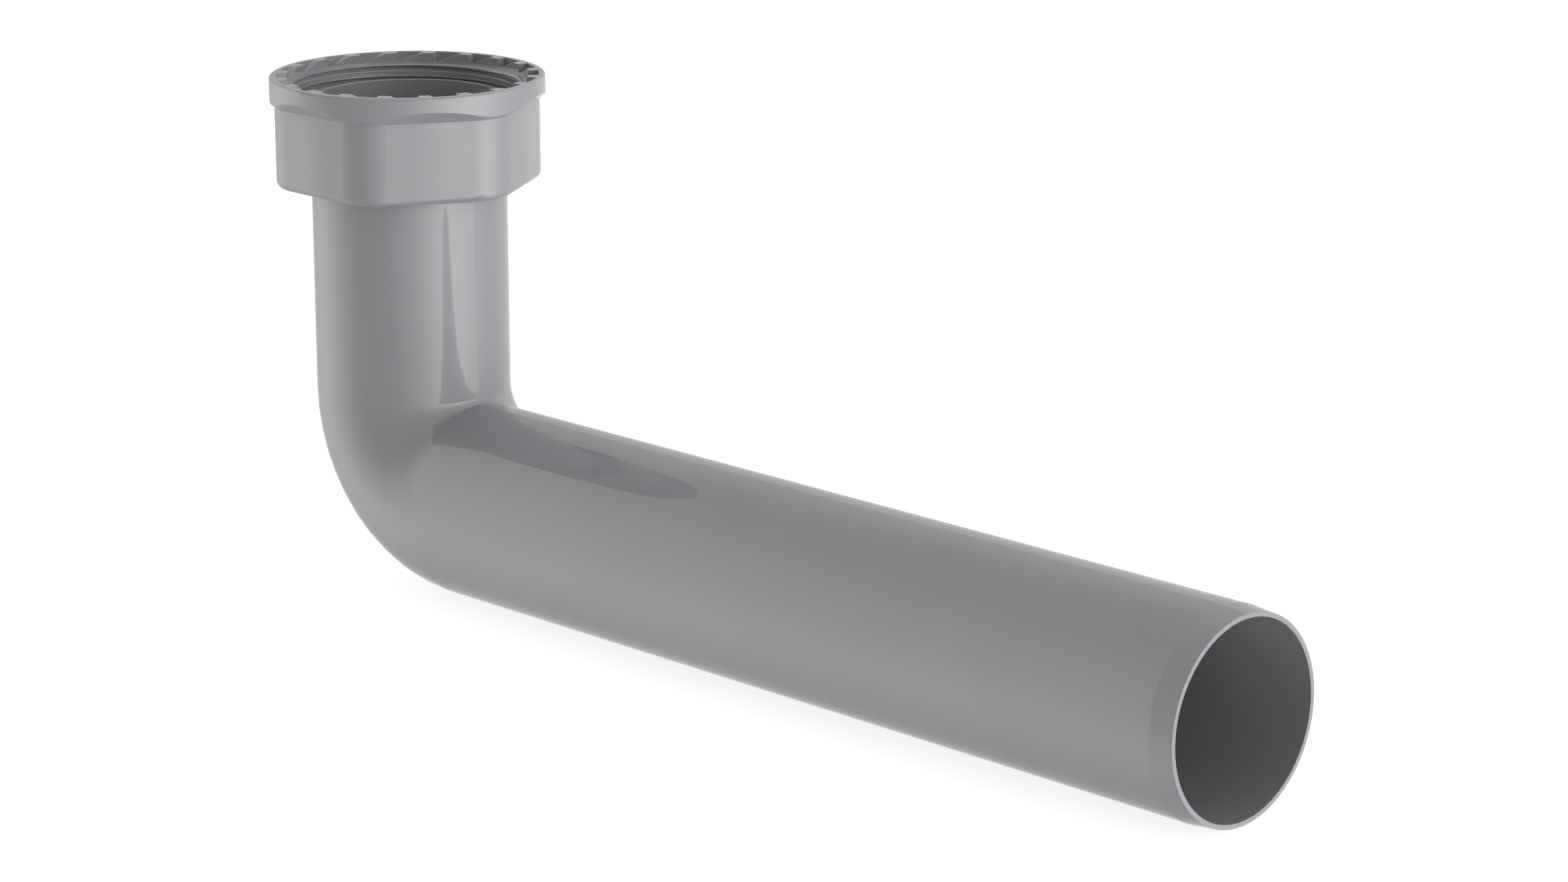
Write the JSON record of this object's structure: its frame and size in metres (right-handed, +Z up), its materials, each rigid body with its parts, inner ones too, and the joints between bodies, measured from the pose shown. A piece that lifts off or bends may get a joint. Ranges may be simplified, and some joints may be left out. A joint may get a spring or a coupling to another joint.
{
  "type": "waste outlet bend",
  "caption": "Bent plastic waste outlet pipe with a short inlet leg, a tight right-angle elbow, a long outlet leg and a loose threaded union nut on a sealing ring.",
  "frame": {"origin": "centre of the inlet end of the pipe, on the axis of the union nut's thread", "axes": "+Z up, out of the inlet along the axis of the inlet leg and the nut; +X along the outlet leg towards its open end; the XZ plane holds the whole centre line of the pipe"},
  "size_m": [0.2498, 0.0562, 0.1058],
  "materials": {
    "pipe_plastic": "moulded grey polypropylene, semi-gloss",
    "nut_plastic": "moulded grey polypropylene, semi-gloss",
    "ring_rubber": "black sealing rubber, matt"
  },
  "bodies": {
    "bend": {"outlet_bend": "pipe_plastic"},
    "ring": {"sealing_ring": "ring_rubber"},
    "nut": {"union_nut": "nut_plastic"}
  },
  "joints": [
    {"name": "union_slide", "type": "slide", "parent": "bend", "child": "ring", "axis": [0, 0, 1], "range_m": [-0.0419, 0.007]},
    {"name": "nut_turn", "type": "hinge", "parent": "ring", "child": "nut", "pos_m": [0, 0, 0], "axis": [0, 0, 1], "continuous": true}
  ]
}
